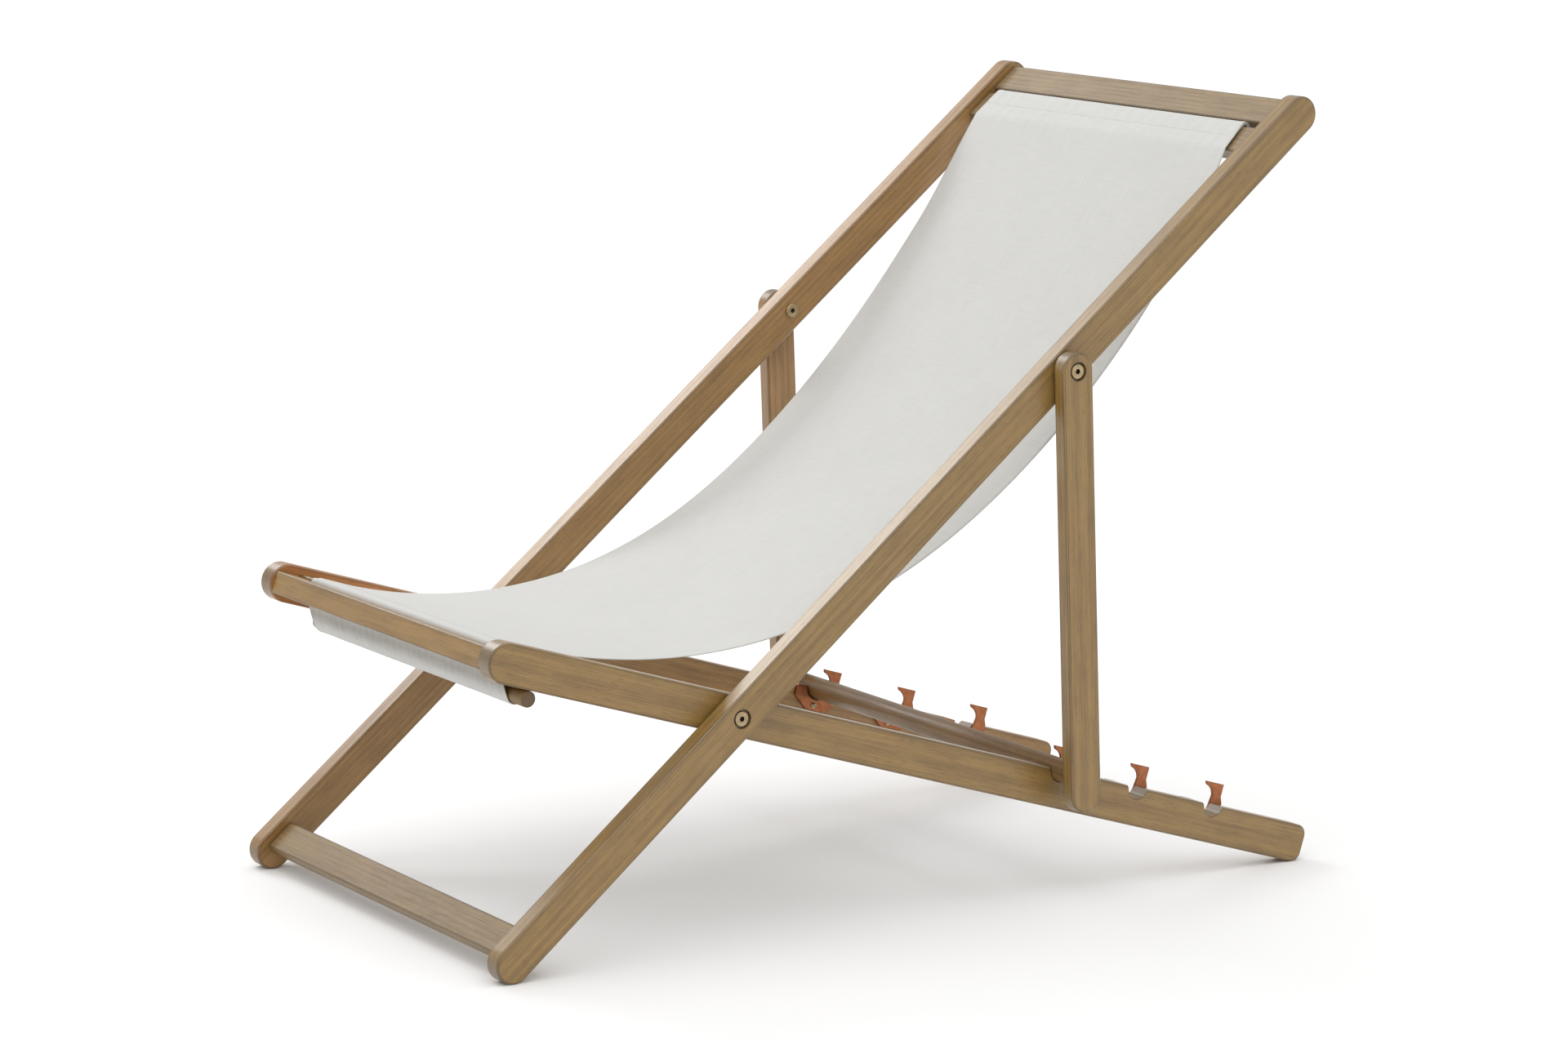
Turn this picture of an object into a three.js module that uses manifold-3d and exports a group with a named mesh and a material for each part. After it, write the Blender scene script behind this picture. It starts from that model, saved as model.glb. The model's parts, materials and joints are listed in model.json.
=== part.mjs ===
// Folding sling deck chair: two crossed wooden frames, a prop frame that hooks into notches,
// and a cloth sling slung between the top and the front. Millimetres, +Z up.
// X runs across the chair (+X is the sitter's left), the front faces -Y, and the floor is Z = 0.
import * as THREE from 'three';
import { mergeVertices } from 'three/addons/utils/BufferGeometryUtils.js';
import Module from 'manifold-3d';

const wasm = await Module();
wasm.setup();

// Driving dimensions: the two crossed frames
const back_inner_width = 512;      // between the back rails' inner faces
const back_rail_thick = 22;
const back_rail_depth = 40;
const back_foot_reach = 345;       // cross pivot to the centre of the foot's round end
const back_top_reach = 916;        // cross pivot to the centre of the top's round end
const layer_gap = 3;               // between neighbouring rails at a pivot, filled by a washer
const seat_rail_thick = 24;
const seat_rail_depth = 42;
const seat_front_reach = 292;      // cross pivot to the front tip of the seat rail
const seat_rear_reach = 792;       // cross pivot to the rear end of the seat rail
const seat_rear_corner = 12;       // rounding of the seat rail's rear corners

// Driving dimensions: the prop frame and its notches
const prop_thick = 18;
const prop_width = 38;
const prop_pivot_reach = 518;      // cross pivot to the prop's pivot, along the back rail
const prop_length = 439.8;         // prop pivot to the middle of the crossbar
const prop_top_margin = 20;
const prop_bottom_margin = 38;
const bar_radius = 12.5;
const bar_seat_depth = 12;         // how deep the crossbar goes into each prop
const notch_count = 3;
const notch_first = 433.5;         // cross pivot to the first notch, along the seat rail
const notch_pitch = 109;
const notch_depth = 13;
const notch_lead = 1.2;            // how much wider the notch is at the rail's top edge
const notch_flare = 26;            // degrees below level where its sides leave the round

// Driving dimensions: slats
const slat_thick = 15;
const slat_face = 10;              // slat face above the back rail's centre line
const foot_slat_width = 36;
const foot_slat_setback = 17;      // slat's centre line inside the centre of the rail's end
const top_slat_width = 38;
const top_slat_setback = 8;
const slot_width = 8;              // the gap that the cloth passes through
const front_slat_thick = 20;
const front_slat_height = 24;
const front_slat_setback = 4;      // front slat's face behind the rail tips
const front_slat_top = 11;         // its top edge above the seat rail's centre line
const rest_slat_width = 36;        // the hidden slat behind the front one
const rest_slat_top = 13;
const tenon_length = 12;
const tenon_shoulder = 5;          // the slat's width beyond its tenon, each side
const tenon_cheek = 2.5;           // and its thickness

// Driving dimensions: cloth and its dowels
const cloth_thick = 1.2;
const cloth_top_margin = 12;       // between the cloth's edge and the back rail
const cloth_front_margin = 18;     // between the cloth's edge and the seat rail
const cloth_gather = 13;           // each edge drawn in at the top slot by the stitched hem
const dowel_radius = 8.5;
const top_dowel_margin = 4;        // between the dowel's end and the back rail
const front_dowel_inset = 2;       // the dowel's left end inside the seat rail's outer face
const front_dowel_cover = 6;       // its right end inside the cloth's edge
const front_dowel_setback = 28;    // front dowel behind the slot's middle
const hem_length = 26;             // the stitched double layer beyond the slot
const cloth_top_lean = 57.2;       // degrees below level where the cloth leaves the top slats
const cloth_front_lean = 14.8;     // degrees where it reaches the front slats
const cloth_top_pull_share = 0.563;     // shares of the chord between the two slats
const cloth_front_pull_share = 0.301;
const cloth_taper_shares = [0.4, 0.9];  // of its length, where its width falls to the front's
const cloth_gather_shares = [0.12, 0.2];  // where it widens from the gathered hem

// Driving dimensions: pivots
const shank_radius = 3.1;
const sleeve_wall = 1.2;
const bolt_head_radius = 8;
const bolt_head_thick = 3;
const bolt_chamfer = 1;
const bolt_head_recess = 0.7;      // below the wood's face
const hex_socket_radius = 2.9;
const hex_socket_depth = 2.2;
const nut_socket_depth = 1.1;
const nut_flange_thick = 2.4;
const washer_rim = 7.8;            // from its hole to its edge

// Driving dimensions: the hook plates
const plate_thick = 3;
const plate_notch_gap = 1.4;       // the plate's cradle stands back from the crossbar
const hook_tip = 3;                // behind the crossbar's middle
const hook_waist_front = 15.5;
const hook_waist_back = 27.5;
const hook_waist_level = 9;        // above the crossbar's middle
const hook_root_back = 31;
const hook_root_level = 2;
const hook_depth = 4;
const hook_tip_bevel = 2;
const plate_front = 29;            // the cradle's front ear
const plate_ear_top = 2;           // below the crossbar's middle
const plate_ear_foot = 13;
const plate_bottom = 27;
const plate_bottom_half = 9;
const plate_heel = 19;
const screw_head_radius = 3.6;
const screw_head_height = 1.8;
const screw_head_flat = 1.8;       // radius of the flat on top of the head
const screw_head_rim = 0.6;        // height of its straight rim
const screw_shank_radius = 1.8;
const screw_length = 15;
const screw_slot_width = 1;
const screw_slot_depth = 0.8;
const screw_low = 21;              // lower screw below the crossbar's middle
const screw_rear = 25;             // rear screw behind the crossbar's middle
const screw_rear_drop = 13;

// Clearances, easing and overruns
const gap = 0.3;                   // between pieces that touch
const bar_clearance = 0.5;         // round the crossbar in its notch
const hook_clearance = 6.5;        // between the crossbar and the hook over it
const pivot_clearance = 0.5;       // round the sleeve nuts
const shank_clearance = 0.4;       // round bolts and screws
const counterbore_clearance = 2;   // round the bolts' heads
const cloth_clearance = 0.6;       // between the cloth and wood, and between its own layers
const cloth_bend = 2.5;            // inner bend of the cloth over a slat's edge
const rail_ease = 1.6;             // bevel along the rails' edges
const slat_ease = 1.2;
const overrun = 2;                 // how far a cut runs past its face

// Facets
const end_facets = 14;
const round_facets = 20;
const small_facets = 12;
const cloth_steps = 40;
const loop_steps = 14;
const bend_steps = 4;
const hex_facets = 6;

const deg = Math.PI / 180;
const half_turn = Math.PI;

// Levels across the chair, one side
const back_inner = back_inner_width / 2;
const back_outer = back_inner + back_rail_thick;
const seat_outer = back_inner - layer_gap;
const seat_inner = seat_outer - seat_rail_thick;
const prop_inner = back_outer + layer_gap;
const prop_outer = prop_inner + prop_thick;

// Widths, holes and recesses that follow from what they hold
const cloth_top_width = back_inner_width - 2 * cloth_top_margin;
const cloth_front_width = 2 * (seat_inner - cloth_front_margin);
const top_dowel_length = back_inner_width - 2 * top_dowel_margin;
const front_dowel_left = seat_outer - front_dowel_inset;
const front_dowel_right = front_dowel_cover - cloth_front_width / 2;
const sleeve_bore = shank_radius + shank_clearance;
const sleeve_radius = sleeve_bore + sleeve_wall;
const pivot_hole_radius = sleeve_radius + pivot_clearance;
const washer_radius = pivot_hole_radius + washer_rim;
const counterbore_radius = bolt_head_radius + counterbore_clearance;
const counterbore_depth = gap + bolt_head_thick + bolt_head_recess;
const screw_hole_radius = screw_shank_radius + shank_clearance;
const hook_underside = bar_radius + hook_clearance;
const hook_top = hook_underside + hook_depth;
const foot_slat_reach = back_foot_reach - foot_slat_setback;
const top_slat_reach = back_top_reach - top_slat_setback;

// The standing pose follows from the lengths alone: the prop closes a triangle with the two
// frames, and both frames' lower ends touch the floor.
const back_radius = back_rail_depth / 2;
const seat_radius = seat_rail_depth / 2;
const notch_floor = seat_radius - notch_depth;
const bar_level = notch_floor + bar_radius + bar_clearance;
const bar_reach = Math.hypot(notch_first, bar_level);
const cos_prop = (prop_pivot_reach ** 2 + bar_reach ** 2 - prop_length ** 2)
  / (2 * prop_pivot_reach * bar_reach);
const open_angle = Math.acos(cos_prop) + Math.atan2(bar_level, notch_first);
const corner_reach = seat_rear_reach - seat_rear_corner;
const corner_drop = seat_radius - seat_rear_corner;
const lean_s = corner_reach + back_foot_reach * Math.cos(open_angle);
const lean_c = corner_drop - back_foot_reach * Math.sin(open_angle);
const seat_angle = Math.asin((back_radius - seat_rear_corner) / Math.hypot(lean_s, lean_c))
  - Math.atan2(lean_c, lean_s);
const back_angle = open_angle - seat_angle;
const pivot_height = back_foot_reach * Math.sin(back_angle) + back_radius;

// Turning helpers for points given along and above a rail
const turned = (y, z, angle) => [
  y * Math.cos(angle) - z * Math.sin(angle),
  y * Math.sin(angle) + z * Math.cos(angle),
];

// The origin lies on the floor under the middle of the chair's length
const foot_front = turned(-back_foot_reach, 0, back_angle)[0] - back_radius;
const seat_front = turned(seat_radius - seat_front_reach, 0, -seat_angle)[0] - seat_radius;
const seat_rear = turned(corner_reach, corner_drop, -seat_angle)[0] + seat_rear_corner;
const pivot_along = -(Math.min(foot_front, seat_front) + seat_rear) / 2;

const from_back = (s, n) => {
  const [y, z] = turned(s, n, back_angle);
  return [y + pivot_along, z + pivot_height];
};
const from_seat = (s, n) => {
  const [y, z] = turned(s, n, -seat_angle);
  return [y + pivot_along, z + pivot_height];
};

// Materials
const wood = new THREE.MeshStandardMaterial({ color: 0x8f7650, roughness: 0.6 });
const slat_wood = new THREE.MeshStandardMaterial({ color: 0xa58a60, roughness: 0.6 });
const dowel_wood = new THREE.MeshStandardMaterial({ color: 0x9a8058, roughness: 0.6 });
const canvas = new THREE.MeshStandardMaterial({ color: 0xe9e9e6, roughness: 0.9 });
const copper = new THREE.MeshStandardMaterial({ color: 0xb06a48, roughness: 0.4, metalness: 0.9 });
const brass = new THREE.MeshStandardMaterial({ color: 0xc2b183, roughness: 0.35, metalness: 0.9 });
const steel = new THREE.MeshStandardMaterial({ color: 0xa8a8a4, roughness: 0.4, metalness: 0.9 });

// Solids and booleans
function to_solid(geometry) {
  const bare = geometry.clone();
  bare.deleteAttribute('normal');
  bare.deleteAttribute('uv');
  const merged = mergeVertices(bare);
  return new wasm.Manifold(new wasm.Mesh({
    numProp: 3,
    vertProperties: new Float32Array(merged.attributes.position.array),
    triVerts: new Uint32Array(merged.index.array),
  }));
}

function to_geometry(solid) {
  const mesh = solid.getMesh();
  const geometry = new THREE.BufferGeometry();
  geometry.setAttribute('position', new THREE.BufferAttribute(mesh.vertProperties, 3));
  geometry.setIndex(new THREE.BufferAttribute(mesh.triVerts, 1));
  geometry.computeVertexNormals();
  return geometry;
}

const join = (...parts) => parts.map(to_solid).reduce((a, b) => a.add(b));
const cut = (solid, ...tools) => tools.map(to_solid).reduce((a, b) => a.subtract(b), solid);

// A profile drawn in a rail's own plane (along, above), made solid across the chair
function across(shape, from, to, ease = 0) {
  const geometry = new THREE.ExtrudeGeometry(shape, {
    depth: to - from - 2 * ease,
    curveSegments: end_facets,
    bevelEnabled: ease > 0,
    bevelThickness: ease,
    bevelSize: ease,
    bevelOffset: -ease,
    bevelSegments: 1,
  });
  geometry.translate(0, 0, from + ease);
  const basis = new THREE.Matrix4().makeBasis(
    new THREE.Vector3(0, 1, 0), new THREE.Vector3(0, 0, 1), new THREE.Vector3(1, 0, 0));
  return geometry.applyMatrix4(basis);
}

// A closed outline from points; a point with a third value is rounded to that radius
function outline(points) {
  const shape = new THREE.Shape();
  const count = points.length;
  points.forEach(([y, z, radius], i) => {
    const before = points[(i + count - 1) % count];
    const after = points[(i + 1) % count];
    if (!radius) {
      if (i === 0) shape.moveTo(y, z);
      else shape.lineTo(y, z);
      return;
    }
    const here = new THREE.Vector2(y, z);
    const back = new THREE.Vector2(before[0], before[1]).sub(here).normalize();
    const on = new THREE.Vector2(after[0], after[1]).sub(here).normalize();
    const reach = radius / Math.tan(Math.acos(back.dot(on)) / 2);
    const start = here.clone().addScaledVector(back, reach);
    const end = here.clone().addScaledVector(on, reach);
    if (i === 0) shape.moveTo(start.x, start.y);
    else shape.lineTo(start.x, start.y);
    shape.quadraticCurveTo(here.x, here.y, end.x, end.y);
  });
  shape.closePath();
  return shape;
}

// A rail with round ends, between two points on its centre line
function stadium(low, high, radius) {
  const shape = new THREE.Shape();
  shape.absarc(high - radius, 0, radius, -half_turn / 2, half_turn / 2, false);
  shape.absarc(low + radius, 0, radius, half_turn / 2, half_turn * 3 / 2, false);
  shape.closePath();
  return shape;
}

// A board's section with eased edges
function board_section(y0, y1, z0, z1, ease) {
  return outline([
    [y0 + ease, z0], [y1 - ease, z0], [y1, z0 + ease], [y1, z1 - ease],
    [y1 - ease, z1], [y0 + ease, z1], [y0, z1 - ease], [y0, z0 + ease],
  ]);
}

// A round rod across the chair, centred on a point of the rail's plane
function rod(radius, from, to, y, z, facets = round_facets) {
  const geometry = new THREE.CylinderGeometry(radius, radius, to - from, facets);
  geometry.rotateZ(-half_turn / 2);
  return geometry.translate((from + to) / 2, y, z);
}

// A turned piece on the X axis from (radius, x) points, for one side
function turned_piece(points, facets = round_facets) {
  const profile = points.map(([radius, x]) => new THREE.Vector2(radius, x));
  const geometry = new THREE.LatheGeometry(profile, facets);
  return geometry.rotateZ(-half_turn / 2);
}

// Everything on the right is the left side mirrored; this keeps the faces turned outwards
function mirrored(geometry) {
  const copy = geometry.clone().scale(-1, 1, 1);
  const flat = copy.index ? copy.toNonIndexed() : copy;
  const position = flat.attributes.position;
  const turned_over = new Float32Array(position.array.length);
  for (let i = 0; i < position.count; i += 3) {
    [0, 2, 1].forEach((from, to) => {
      turned_over[(i + to) * 3] = position.getX(i + from);
      turned_over[(i + to) * 3 + 1] = position.getY(i + from);
      turned_over[(i + to) * 3 + 2] = position.getZ(i + from);
    });
  }
  const geometry_out = new THREE.BufferGeometry();
  geometry_out.setAttribute('position', new THREE.BufferAttribute(turned_over, 3));
  const merged = mergeVertices(geometry_out);
  merged.computeVertexNormals();
  return merged;
}

// The scene: three frames, each turned to its standing angle
const chair = new THREE.Group();
const seat_frame = new THREE.Group();
const back_frame = new THREE.Group();
const prop_frame = new THREE.Group();
const prop_pivot = from_back(prop_pivot_reach, 0);
const bar_place = from_seat(notch_first, bar_level);
const prop_angle = Math.atan2(bar_place[1] - prop_pivot[1], bar_place[0] - prop_pivot[0]);
seat_frame.position.set(0, pivot_along, pivot_height);
seat_frame.rotation.x = -seat_angle;
back_frame.position.set(0, pivot_along, pivot_height);
back_frame.rotation.x = back_angle;
prop_frame.position.set(0, prop_pivot[0], prop_pivot[1]);
prop_frame.rotation.x = prop_angle;
chair.add(seat_frame, back_frame, prop_frame);

function place(frame, name, geometry, material) {
  const mesh = new THREE.Mesh(geometry, material);
  mesh.name = name;
  frame.add(mesh);
}

function place_pair(frame, name, geometry, material) {
  place(frame, `${name}_left`, geometry, material);
  place(frame, `${name}_right`, mirrored(geometry), material);
}

// Slats: a board between two rails with a tenon in each
function slat(y0, y1, z0, z1, inner) {
  const half = inner - gap;
  const board = across(board_section(y0, y1, z0, z1, slat_ease), -half, half);
  const reach = inner + tenon_length - gap;
  const tenon = across(board_section(y0 + tenon_shoulder, y1 - tenon_shoulder,
    z0 + tenon_cheek, z1 - tenon_cheek, slat_ease), -reach, reach);
  return to_geometry(join(board, tenon));
}

// The mortise that the slat's tenon sits in, on the left side
function mortise(y0, y1, z0, z1, inner) {
  return across(outline([
    [y0 + tenon_shoulder - gap, z0 + tenon_cheek - gap],
    [y1 - tenon_shoulder + gap, z0 + tenon_cheek - gap],
    [y1 - tenon_shoulder + gap, z1 - tenon_cheek + gap],
    [y0 + tenon_shoulder - gap, z1 - tenon_cheek + gap],
  ]), inner - overrun, inner + tenon_length);
}

// Slat places, as low and high along the rail and above its centre line
const slat_back = slat_face - slat_thick;
const foot_slat = [foot_slat_reach + foot_slat_width / 2, foot_slat_reach - foot_slat_width / 2]
  .map((reach) => -reach).concat([slat_back, slat_face]);
const top_slat_low = top_slat_reach - top_slat_width / 2;
const top_slat = [top_slat_low, top_slat_low + top_slat_width, slat_back, slat_face];
const slot_slat_high = top_slat_low - slot_width;
const slot_slat = [slot_slat_high - top_slat_width, slot_slat_high, slat_back, slat_face];
const front_slat_low = -seat_front_reach + front_slat_setback;
const front_slat_high = front_slat_low + front_slat_thick;
const front_slat = [front_slat_low, front_slat_high,
  front_slat_top - front_slat_height, front_slat_top];
const rest_slat_low = front_slat_high + slot_width;
const rest_slat = [rest_slat_low, rest_slat_low + rest_slat_width,
  rest_slat_top - slat_thick, rest_slat_top];

// Back frame: rails
const back_low = -back_foot_reach - back_radius;
const back_high = back_top_reach + back_radius;
function back_rail() {
  const rail = to_solid(across(stadium(back_low, back_high, back_radius),
    back_inner, back_outer, rail_ease));
  const through = [back_inner - overrun, back_outer + overrun];
  return to_geometry(cut(rail,
    rod(pivot_hole_radius, ...through, 0, 0, small_facets),
    rod(counterbore_radius, back_outer - counterbore_depth, back_outer + overrun, 0, 0),
    rod(pivot_hole_radius, ...through, prop_pivot_reach, 0, small_facets),
    mortise(...foot_slat, back_inner),
    mortise(...top_slat, back_inner),
    mortise(...slot_slat, back_inner)));
}
place_pair(back_frame, 'back_rail', back_rail(), wood);
place(back_frame, 'foot_slat', slat(...foot_slat, back_inner), slat_wood);
place(back_frame, 'top_slat', slat(...top_slat, back_inner), slat_wood);
place(back_frame, 'top_slot_slat', slat(...slot_slat, back_inner), slat_wood);

// Seat frame: rails with notches for the crossbar
const notch_places = Array.from({ length: notch_count }, (_, i) => notch_first + i * notch_pitch);
const notch_radius = bar_radius + bar_clearance;
const notch_mouth = notch_radius + notch_lead;

function notch(y) {
  const shape = new THREE.Shape();
  const mouth_top = seat_radius + overrun;
  shape.moveTo(y - notch_mouth, mouth_top);
  shape.lineTo(y - notch_mouth, seat_radius);
  shape.absarc(y, bar_level, notch_radius, half_turn + notch_flare * deg,
    half_turn * 2 - notch_flare * deg, false);
  shape.lineTo(y + notch_mouth, seat_radius);
  shape.lineTo(y + notch_mouth, mouth_top);
  shape.closePath();
  return across(shape, seat_inner - overrun, seat_outer + overrun);
}

const screw_places = [[0, -screw_low], [screw_rear, -screw_rear_drop]];
const screw_tip = seat_inner + screw_length;

function seat_rail() {
  const profile = new THREE.Shape();
  const low = -seat_front_reach + seat_radius;
  const high = seat_rear_reach - seat_rear_corner;
  profile.absarc(low, 0, seat_radius, half_turn / 2, half_turn * 3 / 2, false);
  profile.absarc(high, -corner_drop, seat_rear_corner, -half_turn / 2, 0, false);
  profile.absarc(high, corner_drop, seat_rear_corner, 0, half_turn / 2, false);
  profile.closePath();
  const rail = to_solid(across(profile, seat_inner, seat_outer, rail_ease));
  const screw_holes = notch_places.flatMap((y) => screw_places.map(([along, above]) =>
    rod(screw_hole_radius, seat_inner - overrun, screw_tip + gap, y + along,
      bar_level + above, small_facets)));
  return to_geometry(cut(rail,
    rod(pivot_hole_radius, seat_inner - overrun, seat_outer + overrun, 0, 0, small_facets),
    mortise(...front_slat, seat_inner),
    mortise(...rest_slat, seat_inner),
    ...notch_places.map(notch),
    ...screw_holes));
}
place_pair(seat_frame, 'seat_rail', seat_rail(), wood);
place(seat_frame, 'front_slat', slat(...front_slat, seat_inner), slat_wood);
place(seat_frame, 'front_slot_slat', slat(...rest_slat, seat_inner), slat_wood);

// Hook plates: a cradle round the notch and a hook over the crossbar, on the rail's inner face
const cradle_radius = notch_radius + plate_notch_gap;
function hook_plate(y) {
  const shape = new THREE.Shape();
  const at = (along, above) => [y + along, bar_level + above];
  shape.moveTo(...at(-plate_front, -plate_ear_top));
  shape.lineTo(...at(-plate_front, -plate_ear_foot));
  shape.lineTo(...at(-plate_bottom_half, -plate_bottom));
  shape.lineTo(...at(plate_heel, -plate_bottom));
  shape.lineTo(...at(hook_root_back, -plate_ear_foot));
  shape.lineTo(...at(hook_root_back, hook_root_level));
  shape.lineTo(...at(hook_waist_back, hook_waist_level));
  shape.lineTo(...at(hook_waist_back, hook_top));
  shape.lineTo(...at(hook_tip, hook_top));
  shape.lineTo(...at(hook_tip, hook_top - hook_tip_bevel));
  shape.lineTo(...at(hook_tip + hook_tip_bevel, hook_underside));
  shape.quadraticCurveTo(...at(hook_waist_front - hook_tip_bevel, hook_underside - hook_tip_bevel),
    ...at(hook_waist_front, hook_waist_level));
  shape.lineTo(...at(cradle_radius, 0));
  shape.absarc(...at(0, 0), cradle_radius, 0, -half_turn, true);
  shape.lineTo(...at(-plate_front + plate_ear_top, 0));
  shape.closePath();
  const front = seat_inner - gap;
  const plate = to_solid(across(shape, front - plate_thick, front));
  const holes = screw_places.map(([along, above]) => rod(screw_hole_radius,
    front - plate_thick - overrun, front + overrun, y + along, bar_level + above, small_facets));
  return to_geometry(cut(plate, ...holes));
}

// A round-headed screw through the plate into the rail
const screw_seat = seat_inner - gap - plate_thick - gap;
function screw(y, z) {
  const head_top = screw_seat - screw_head_height;
  const body = turned_piece([
    [0, head_top],
    [screw_head_flat, head_top],
    [screw_head_radius, screw_seat - screw_head_rim],
    [screw_head_radius, screw_seat],
    [screw_shank_radius, screw_seat],
    [screw_shank_radius, screw_tip - screw_shank_radius],
    [0, screw_tip],
  ], small_facets);
  const slot = new THREE.BoxGeometry(2 * screw_slot_depth, 2 * screw_head_radius + overrun,
    screw_slot_width);
  slot.translate(head_top, 0, 0);
  return to_geometry(cut(to_solid(body), slot)).translate(0, y, z);
}

notch_places.forEach((y, i) => {
  place_pair(seat_frame, `hook_plate_${i + 1}`, hook_plate(y), copper);
  screw_places.forEach(([along, above], j) => {
    place_pair(seat_frame, `hook_screw_${i + 1}${'ab'[j]}`,
      screw(y + along, bar_level + above), brass);
  });
});

// Prop frame: two props and the crossbar that drops into the notches
function prop() {
  const board = to_solid(across(
    stadium(-prop_top_margin, prop_length + prop_bottom_margin, prop_width / 2),
    prop_inner, prop_outer, rail_ease));
  return to_geometry(cut(board,
    rod(pivot_hole_radius, prop_inner - overrun, prop_outer + overrun, 0, 0, small_facets),
    rod(counterbore_radius, prop_outer - counterbore_depth, prop_outer + overrun, 0, 0),
    rod(bar_radius + gap, prop_inner - overrun, prop_inner + bar_seat_depth, prop_length, 0)));
}
place_pair(prop_frame, 'prop', prop(), wood);
const bar_end = prop_inner + bar_seat_depth - gap;
place(prop_frame, 'prop_crossbar', rod(bar_radius, -bar_end, bar_end, prop_length, 0), dowel_wood);

// Pivots: a sleeve nut from the inside, a socket bolt from the outside, a washer between
function sleeve_nut(inner_face, head_seat) {
  const under = inner_face - gap;
  const outer = under - nut_flange_thick;
  const end = head_seat - gap;
  const body = turned_piece([
    [0, outer], [bolt_head_radius, outer], [bolt_head_radius, under], [sleeve_radius, under],
    [sleeve_radius, end], [sleeve_bore, end], [sleeve_bore, under], [0, under],
  ]);
  const socket = rod(hex_socket_radius, outer - overrun, outer + nut_socket_depth, 0, 0, hex_facets);
  return cut(to_solid(body), socket);
}

function socket_bolt(inner_face, head_seat) {
  const seat = head_seat + gap;
  const top = seat + bolt_head_thick;
  const tip = inner_face + sleeve_radius;
  const body = turned_piece([
    [0, tip], [shank_radius, tip], [shank_radius, seat], [bolt_head_radius, seat],
    [bolt_head_radius, top - bolt_chamfer],
    [bolt_head_radius - bolt_chamfer, top], [0, top],
  ]);
  const socket = rod(hex_socket_radius, top - hex_socket_depth, top + overrun, 0, 0, hex_facets);
  return cut(to_solid(body), socket);
}

function washer(from, to) {
  return turned_piece([
    [pivot_hole_radius, from], [washer_radius, from], [washer_radius, to],
    [pivot_hole_radius, to], [pivot_hole_radius, from],
  ]);
}

const back_bolt_seat = back_outer - counterbore_depth;
const prop_bolt_seat = prop_outer - counterbore_depth;
const pair_at = (name, geometry, material, along) =>
  place_pair(back_frame, name, geometry.translate(0, along, 0), material);
pair_at('cross_sleeve_nut', to_geometry(sleeve_nut(seat_inner, back_bolt_seat)), brass, 0);
pair_at('cross_bolt', to_geometry(socket_bolt(seat_inner, back_bolt_seat)), brass, 0);
pair_at('cross_washer', washer(seat_outer + gap, back_inner - gap), steel, 0);
pair_at('prop_sleeve_nut', to_geometry(sleeve_nut(back_inner, prop_bolt_seat)), brass,
  prop_pivot_reach);
pair_at('prop_bolt', to_geometry(socket_bolt(back_inner, prop_bolt_seat)), brass,
  prop_pivot_reach);
pair_at('prop_washer', washer(back_outer + gap, prop_inner - gap), steel, prop_pivot_reach);

// Cloth and its dowels. Each end is drawn in (along, above) of its slats, with the slot at 0.
const slot_middle_top = top_slat_low - slot_width / 2;
const slot_middle_front = -(front_slat_high + slot_width / 2);
const layer_step = cloth_thick + cloth_clearance;
const loop_radius = dowel_radius + cloth_clearance + cloth_thick / 2;
const top_dowel_level = slat_back - loop_radius - layer_step;
const front_dowel_level = -seat_radius - dowel_radius - gap;
const front_dowel_along = slot_middle_front - front_dowel_setback;

// From the cloth's face on the slat, down the slot, round the dowel and back up to the hem
function cloth_end(face, slot_foot, dowel_along, dowel_level) {
  const hem_level = face + cloth_clearance + cloth_thick / 2;
  const main_level = hem_level + layer_step;
  const half_step = layer_step / 2;
  const bend = cloth_bend + cloth_thick / 2;
  const centre = new THREE.Vector2(-half_step - bend, hem_level - bend);
  const arc = (radius, from, to, around, steps) => Array.from({ length: steps + 1 }, (_, i) => {
    const angle = from + (to - from) * i / steps;
    return new THREE.Vector2(around.x + radius * Math.cos(angle),
      around.y + radius * Math.sin(angle));
  });
  const quarter = half_turn / 2;
  const main_bend = arc(bend + layer_step, quarter, 0, centre, bend_steps);
  const hem_bend = arc(bend, 0, quarter, centre, bend_steps);
  const dowel = new THREE.Vector2(dowel_along, dowel_level);
  const touch = (x, side) => {
    const away = new THREE.Vector2(x, slot_foot).sub(dowel);
    return away.angle() - side * Math.acos(loop_radius / away.length());
  };
  const down = touch(half_step, 1);
  const up = touch(-half_step, -1);
  const round = arc(loop_radius, down, up - 2 * half_turn, dowel, loop_steps);
  const hem_end = new THREE.Vector2(centre.x - hem_length, hem_level);
  const points = [...main_bend, new THREE.Vector2(half_step, slot_foot), ...round,
    new THREE.Vector2(-half_step, slot_foot), ...hem_bend, hem_end];
  return { points, main_level };
}

function cloth_path() {
  const top_end = cloth_end(slat_face, slat_back, 0, top_dowel_level);
  const front_end = cloth_end(rest_slat_top, rest_slat_top - slat_thick,
    -front_dowel_setback, front_dowel_level);
  const top_points = top_end.points.map(({ x, y }) => from_back(slot_middle_top + x, y));
  const front_points = front_end.points.map(({ x, y }) => from_seat(-slot_middle_front - x, y));
  const start = new THREE.Vector2(...from_back(slot_slat[0], top_end.main_level));
  const end = new THREE.Vector2(...from_seat(rest_slat[1], front_end.main_level));
  const chord = start.distanceTo(end);
  const lean = (angle) => new THREE.Vector2(Math.cos(angle * deg), Math.sin(angle * deg));
  const curve = new THREE.CubicBezierCurve(
    start,
    start.clone().addScaledVector(lean(cloth_top_lean), -chord * cloth_top_pull_share),
    end.clone().add(lean(-cloth_front_lean).multiplyScalar(chord * cloth_front_pull_share)),
    end);
  const free = curve.getSpacedPoints(cloth_steps);
  return [...top_points.reverse().map((p) => new THREE.Vector2(...p)), ...free,
    ...front_points.map((p) => new THREE.Vector2(...p))];
}

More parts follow.
